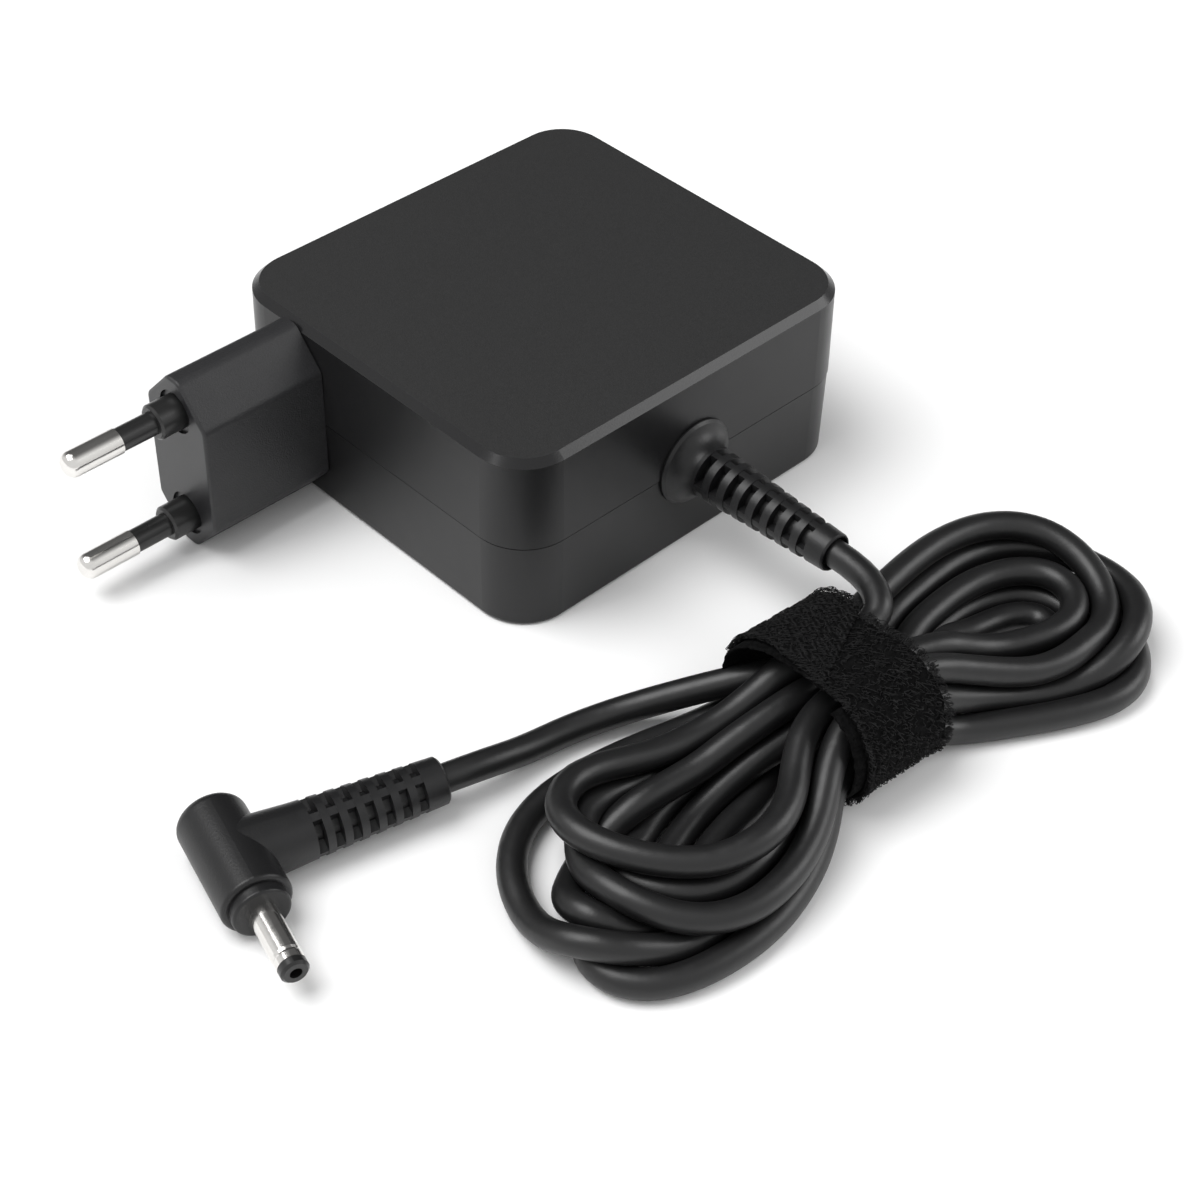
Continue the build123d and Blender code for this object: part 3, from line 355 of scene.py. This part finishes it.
def pile(name):
    """The tape's pile: each loop an arch of fibre, most on the outer turn and more along the rims."""
    rng = np.random.default_rng(11)
    half_w, half_t = TAPE_W / 2, TAPE_T / 2
    on = rng.uniform(PILE_FROM, 1, LOOPS_OF_PILE)
    beside = rng.uniform(-1, 1, LOOPS_OF_PILE)
    at_rim = rng.uniform(0, 1, LOOPS_OF_PILE) < PILE_AT_RIM
    beside = np.where(at_rim, np.sign(beside) * rng.uniform(0.93, 1.0, LOOPS_OF_PILE), beside) * half_w
    woven = tape_turn(on, beside) > PILE_WOVEN
    height = rng.uniform(0.18, 0.55, LOOPS_OF_PILE) * np.where(woven, 0.55, 1.0) * np.where(at_rim, 1.5, 1.0)
    width = rng.uniform(0.35, 1.15, LOOPS_OF_PILE)
    heading = rng.uniform(0, 2 * math.pi, LOOPS_OF_PILE)
    twist = rng.normal(0, 0.3, LOOPS_OF_PILE)
    t = np.linspace(0, 1, PILE_POINTS)[:, None]
    forward = np.cos(heading) * (t - 0.5) * width + np.sin(2 * math.pi * t) * twist
    side = np.sin(heading) * (t - 0.5) * width + np.sin(2 * math.pi * t) * twist * 0.7
    outward = np.where(at_rim, np.sign(beside) * height * 0.8, 0) * np.sin(math.pi * t)
    points = tape_point(tape_turn(on, beside) + forward * TURNS_A_MM, beside + side + outward,
                        half_t - 0.05 + height * np.sin(math.pi * t))
    way = np.gradient(points, axis=0)
    way /= np.linalg.norm(way, axis=-1, keepdims=True)
    left = np.cross(way, [0.31, 0.52, 0.79])
    left /= np.linalg.norm(left, axis=-1, keepdims=True)
    up = np.cross(way, left)
    angles = np.arange(PILE_SIDES) * 2 * math.pi / PILE_SIDES
    rings = points[:, :, None] + PILE_R * MM * (np.multiply.outer(left, np.cos(angles))
                                                + np.multiply.outer(up, np.sin(angles))).swapaxes(-1, -2)
    rings = rings.swapaxes(0, 1)                  # loop, station, corner
    rings[..., 2] = np.maximum(rings[..., 2], TABLE_GAP * MM)
    m = np.arange(LOOPS_OF_PILE * PILE_POINTS * PILE_SIDES).reshape(LOOPS_OF_PILE, PILE_POINTS, PILE_SIDES)
    after = np.roll(m, -1, 2)
    sides = np.stack([m[:, :-1], after[:, :-1], after[:, 1:], m[:, 1:]], -1).reshape(-1, 4)
    ends = np.concatenate([m[:, 0], m[:, -1, ::-1]])
    faces = [tuple(q) for q in sides] + [tuple(e) for e in ends]
    pile_uv = np.repeat(np.stack([on, beside / TAPE_W + 0.5], -1), PILE_POINTS * PILE_SIDES, axis=0)
    return mesh_of(name, rings.reshape(-1, 3), faces, pile_uv)


strap = tape("hook_and_loop_strap")
strap_pile = pile("strap_pile")

# ------------------------------------------------------------------ materials


class Nodes:
    """A material's node tree, with its principled shader and a short way to add nodes."""

    def __init__(self, name):
        self.material = bpy.data.materials.new(name)
        self.material.use_nodes = True
        self.tree = self.material.node_tree
        self.shader = self.tree.nodes["Principled BSDF"]

    def put(self, target, value):
        """Sets a socket to a number or colour, or links another node's output to it."""
        if isinstance(value, bpy.types.NodeSocket):
            self.tree.links.new(value, target)
        elif hasattr(target.default_value, "__len__") and not hasattr(value, "__len__"):
            target.default_value = [value] * len(target.default_value)
        elif hasattr(target.default_value, "__len__") and len(target.default_value) == 4 and len(value) == 3:
            target.default_value = (*value, 1)
        else:
            target.default_value = value

    def add(self, kind, inputs=(), **settings):
        n = self.tree.nodes.new("ShaderNode" + kind)
        for key, value in settings.items():
            setattr(n, key, value)
        for key, value in dict(inputs).items():
            self.put(n.inputs[key], value)
        return n

    def coords(self, scale=(1, 1, 1), turn=(0, 0, 0), output="Object"):
        source = self.add("TexCoord").outputs[output]
        return self.add("Mapping", {"Vector": source, "Scale": scale, "Rotation": turn}).outputs["Vector"]

    def noise(self, scale, detail=2.0, rough=0.5, at=None, output="Fac"):
        where = at or self.coords()
        inputs = {"Vector": where, "Scale": scale, "Detail": detail, "Roughness": rough}
        return self.add("TexNoise", inputs).outputs[output]

    def between(self, fac, low, high, from_low=0.0, from_high=1.0):
        """fac moved from one range to another, kept inside it."""
        return self.add("MapRange", {"Value": fac, "From Min": from_low, "From Max": from_high, "To Min": low,
                                     "To Max": high}).outputs["Result"]

    def math(self, how, a, b=0.0, c=0.0):
        return self.add("Math", {0: a, 1: b, 2: c}, operation=how).outputs[0]

    def mix(self, fac, a, b):
        """Colours a to b by fac."""
        n = self.add("Mix", data_type="RGBA")
        self.put(n.inputs[0], fac)
        self.put(n.inputs[6], a)
        self.put(n.inputs[7], b)
        return n.outputs[2]

    def axis(self, output, name):
        return self.add("SeparateXYZ", {0: output}).outputs[name]

    def facing(self, name, low, high):
        """0 to 1 as the surface's own direction goes from low to high along an axis."""
        return self.between(self.axis(self.add("NewGeometry").outputs["Normal"], name), 0.0, 1.0, low, high)

    def bump(self, height, distance, strength=1.0, under=None):
        inputs = {"Height": height, "Distance": distance, "Strength": strength}
        if under:
            inputs["Normal"] = under
        return self.add("Bump", inputs).outputs["Normal"]

    def finish(self, **sockets):
        for key, value in sockets.items():
            self.put(self.shader.inputs[key.replace("_", " ")], value)
        return self.material


def moulded(name, dark, light, rough, grain, depth, gloss=0.5):
    """Moulded plastic: a fine grain, a slow drift of tone and worn roughness."""
    n = Nodes(name)
    tone = n.mix(n.noise(140, 3), dark, light)
    fine = n.noise(grain, 2)
    shine = n.between(n.noise(320, 4), rough - 0.05, rough + 0.05)
    return n.finish(Base_Color=tone, Roughness=shine, Specular_IOR_Level=gloss, Normal=n.bump(fine, depth))


def shell_material():
    """The case: a matt grained panel, a polished chamfer round it and satin sides."""
    n = Nodes("case_plastic")
    level = n.facing("Z", 0.80, 0.97)
    slant = n.math("MULTIPLY", n.facing("Z", 0.30, 0.45), n.math("SUBTRACT", 1.0, level))
    speckle = n.between(n.noise(5200, 2), 0.0, 1.0, 0.35, 0.7)
    side = n.mix(n.noise(90, 3), (0.0065, 0.0065, 0.007), (0.009, 0.009, 0.0095))
    panel = n.mix(speckle, (0.013, 0.013, 0.0132), (0.021, 0.021, 0.0212))
    tone = n.mix(level, side, panel)
    satin = n.between(n.noise(260, 4), 0.30, 0.38)
    shine = n.add("Mix", {0: level, 2: satin, 3: 0.62}).outputs[0]
    shine = n.add("Mix", {0: slant, 2: shine, 3: 0.24}).outputs[0]
    grain = n.math("MULTIPLY", n.noise(4200, 3, 0.6), n.between(level, 0.12, 1.0))
    return n.finish(Base_Color=tone, Roughness=shine, Specular_IOR_Level=0.35, Normal=n.bump(grain, 0.00006))


def plug_material():
    """The plug block: fine spark grain on its slanted and side faces, smoother on its front."""
    n = Nodes("plug_plastic")
    front = n.between(n.facing("X", -0.97, -0.80), 1.0, 0.0)
    speckle = n.between(n.noise(4600, 3, 0.6), 0.0, 1.0, 0.35, 0.7)
    tone = n.mix(speckle, (0.008, 0.008, 0.009), (0.015, 0.015, 0.0165))
    shine = n.add("Mix", {0: front, 2: n.between(n.noise(300, 3), 0.44, 0.52), 3: 0.36}).outputs[0]
    grain = n.math("MULTIPLY", n.noise(4200, 3, 0.6), n.between(front, 1.0, 0.25))
    return n.finish(Base_Color=tone, Roughness=shine, Normal=n.bump(grain, 0.00006))


def nickel_material():
    n = Nodes("pin_nickel")
    streaks = n.noise(900, 4, 0.6, n.coords((0.06, 1, 1)))
    tone = n.mix(streaks, (0.74, 0.72, 0.69), (0.86, 0.85, 0.83))
    return n.finish(Base_Color=tone, Metallic=1.0, Roughness=n.between(streaks, 0.12, 0.24),
                    Normal=n.bump(streaks, 0.00001))


def jacket_material():
    """The cord's jacket: soft satin PVC with a faint waviness and dust in its tone."""
    n = Nodes("cord_jacket")
    tone = n.mix(n.noise(220, 4), (0.006, 0.006, 0.0063), (0.0095, 0.0095, 0.0098))
    shine = n.between(n.noise(500, 4), 0.34, 0.46)
    waves = n.noise(420, 3)
    fine = n.bump(n.noise(6000, 2), 0.00001)
    return n.finish(Base_Color=tone, Roughness=shine, Specular_IOR_Level=0.5,
                    Normal=n.bump(waves, 0.00006, 1.0, fine))


def strap_material():
    """Hook-and-loop tape: woven, with slanting picks, at its outer end, and dark matted pile elsewhere."""
    n = Nodes("strap_fabric")
    uv = n.add("TexCoord").outputs["UV"]
    turn = n.math("MULTIPLY_ADD", n.axis(uv, "X"), TAPE_TO - TAPE_FROM, TAPE_FROM)
    woven = n.between(turn, 0.0, 1.0, 2.06, 2.10)
    curls = n.noise(1500, 4, 0.65)
    pile = n.math("ABSOLUTE", n.math("SUBTRACT", n.noise(900, 2, 0.5), 0.5))
    picks = n.add("TexWave", {"Vector": n.coords(turn=(0.3, 0.2, 0.5)), "Scale": 420, "Distortion": 3.0,
                              "Detail": 2.0, "Detail Scale": 3.0}, wave_type="BANDS").outputs["Fac"]
    picks = n.math("MULTIPLY", picks, n.between(n.noise(1300, 1), 0.0, 1.0, 0.35, 0.6))
    dark = n.mix(n.between(curls, 0.0, 1.0, 0.35, 0.7), (0.0008, 0.0008, 0.0009), (0.006, 0.006, 0.0062))
    light = n.mix(picks, (0.0015, 0.0015, 0.0016), (0.017, 0.017, 0.0175))
    height = n.add("Mix", {0: woven, 2: n.math("ADD", curls, pile), 3: picks}).outputs[0]
    return n.finish(Base_Color=n.mix(woven, dark, light), Roughness=0.95, Specular_IOR_Level=0.08,
                    Normal=n.bump(height, 0.0003))


def fibre_material():
    """The pile's fibres: dark nylon, some lighter than others."""
    n = Nodes("strap_fibre")
    patches = n.between(n.noise(700, 3), 0.0, 1.0, 0.3, 0.7)
    tone = n.mix(patches, (0.004, 0.004, 0.0042), (0.017, 0.017, 0.0175))
    return n.finish(Base_Color=tone, Roughness=n.between(n.noise(900, 2), 0.6, 0.75), Specular_IOR_Level=0.2,
                    Normal=n.bump(n.noise(9000, 2), 0.00001))


def metal(name, dark, light, rough):
    n = Nodes(name)
    marks = n.noise(700, 4)
    return n.finish(Base_Color=n.mix(marks, dark, light), Metallic=1.0,
                    Roughness=n.between(marks, rough, rough + 0.12), Normal=n.bump(marks, 0.00002))


def tinted(name, colour, rough):
    """A piece's plain colour, drifting a little darker and lighter."""
    dark, light = [0.8 * v for v in colour], [min(1.0, 1.15 * v) for v in colour]
    return moulded(name, dark, light, rough, 2500, 0.00002)


materials = {
    "case_plastic": shell_material(),
    "plug_plastic": plug_material(),
    "pin_nickel": nickel_material(),
    "cord_jacket": jacket_material(),
    "strap_fabric": strap_material(),
    "sleeve_plastic": moulded("sleeve_plastic", (0.010, 0.010, 0.010), (0.014, 0.014, 0.014), 0.30, 2500,
                              0.00001),
    "relief_rubber": moulded("relief_rubber", (0.0065, 0.0065, 0.007), (0.010, 0.010, 0.0105), 0.40, 3200,
                             0.00002, 0.4),
    "tip_plastic": moulded("tip_plastic", (0.008, 0.008, 0.008), (0.012, 0.012, 0.012), 0.32, 2500, 0.00001),
    "contact_brass": metal("contact_brass", (0.70, 0.50, 0.20), (0.86, 0.66, 0.34), 0.22),
    "heatsink_aluminium": metal("heatsink_aluminium", (0.72, 0.73, 0.75), (0.86, 0.87, 0.88), 0.30),
    "copper_wire": metal("copper_wire", (0.62, 0.28, 0.12), (0.80, 0.42, 0.22), 0.28),
}
ROUGHNESS = {"matte_plastic": 0.55, "gloss_plastic": 0.22, "rubber": 0.6, "ceramic": 0.5, "fabric": 0.9}
for row in frame["record"]["materials"]:
    if row["slot"] not in materials:
        materials[row["slot"]] = tinted(row["slot"], row["base_color"][:3], ROUGHNESS.get(row["class"], 0.5))


def wear(piece, name):
    """Gives a piece one material and the record's slot of that name."""
    piece.data.materials.clear()
    piece.data.materials.append(materials[name])


for row in frame["record"]["subparts"]:
    wear(frame["nodes"][row["node"]], row["material_slot"])
for piece, slot in ((cord, "cord_jacket"), (strap, "strap_fabric"), (strap_pile, "strap_fabric")):
    wear(piece, slot)
    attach(piece, "root")
strap_pile.data.materials[0] = fibre_material()

# ------------------------------------------------------------------ floor and light
DARK_CLOTH = (0.52, 0.52, 0.68)
SKY, SKY_BEHIND = 0.80, 0.10


def area_light(name, place, aim, size, power, tint=(1, 1, 1)):
    data = bpy.data.lights.new(name, "AREA")
    data.shape = "RECTANGLE"
    data.size, data.size_y = size
    data.energy = power
    data.color = tint
    lamp = bpy.data.objects.new(name, data)
    scene.collection.objects.link(lamp)
    lamp.location = place
    lamp.rotation_mode = "QUATERNION"
    lamp.rotation_quaternion = (Vector(aim) - Vector(place)).to_track_quat("-Z", "Y")
    return lamp


floor_mesh = bpy.data.meshes.new("floor")
bm = bmesh.new()
bmesh.ops.create_grid(bm, x_segments=4, y_segments=4, size=3.0)
bm.to_mesh(floor_mesh)
bm.free()
floor = bpy.data.objects.new("floor", floor_mesh)
scene.collection.objects.link(floor)
n = Nodes("floor_paper")
floor_mesh.materials.append(n.finish(Base_Color=n.mix(n.noise(6, 3), (0.90, 0.90, 0.90), (0.92, 0.92, 0.92)),
                                     Roughness=0.8, Specular_IOR_Level=0.1))

world = bpy.data.worlds.new("world")
world.use_nodes = True
tree = world.node_tree
sky = tree.nodes["Background"]
sky.inputs["Color"].default_value = (1, 1, 1, 1)
# How near a direction is to the dark cloth behind the object.
toward = tree.nodes.new("ShaderNodeVectorMath")
toward.operation = "DOT_PRODUCT"
toward.inputs[1].default_value = DARK_CLOTH
tree.links.new(tree.nodes.new("ShaderNodeTexCoord").outputs["Generated"], toward.inputs[0])
shade = tree.nodes.new("ShaderNodeMapRange")
shade.interpolation_type = "SMOOTHSTEP"
for key, value in (("From Min", 0.30), ("From Max", 0.88), ("To Min", SKY), ("To Max", SKY_BEHIND)):
    shade.inputs[key].default_value = value
tree.links.new(toward.outputs["Value"], shade.inputs["Value"])
tree.links.new(shade.outputs["Result"], sky.inputs["Strength"])
scene.world = world
area_light("key", (-0.35, 0.25, 0.9), (-0.02, -0.03, 0), (0.7, 0.7), 9)
area_light("side", (0.7, -0.55, 0.5), (0, -0.03, 0.01), (0.5, 0.5), 3)
scene.view_settings.view_transform = "Standard"

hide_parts("cord_lead_in", "cord_hank", "cord_lead_out")
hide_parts("cable_strap")
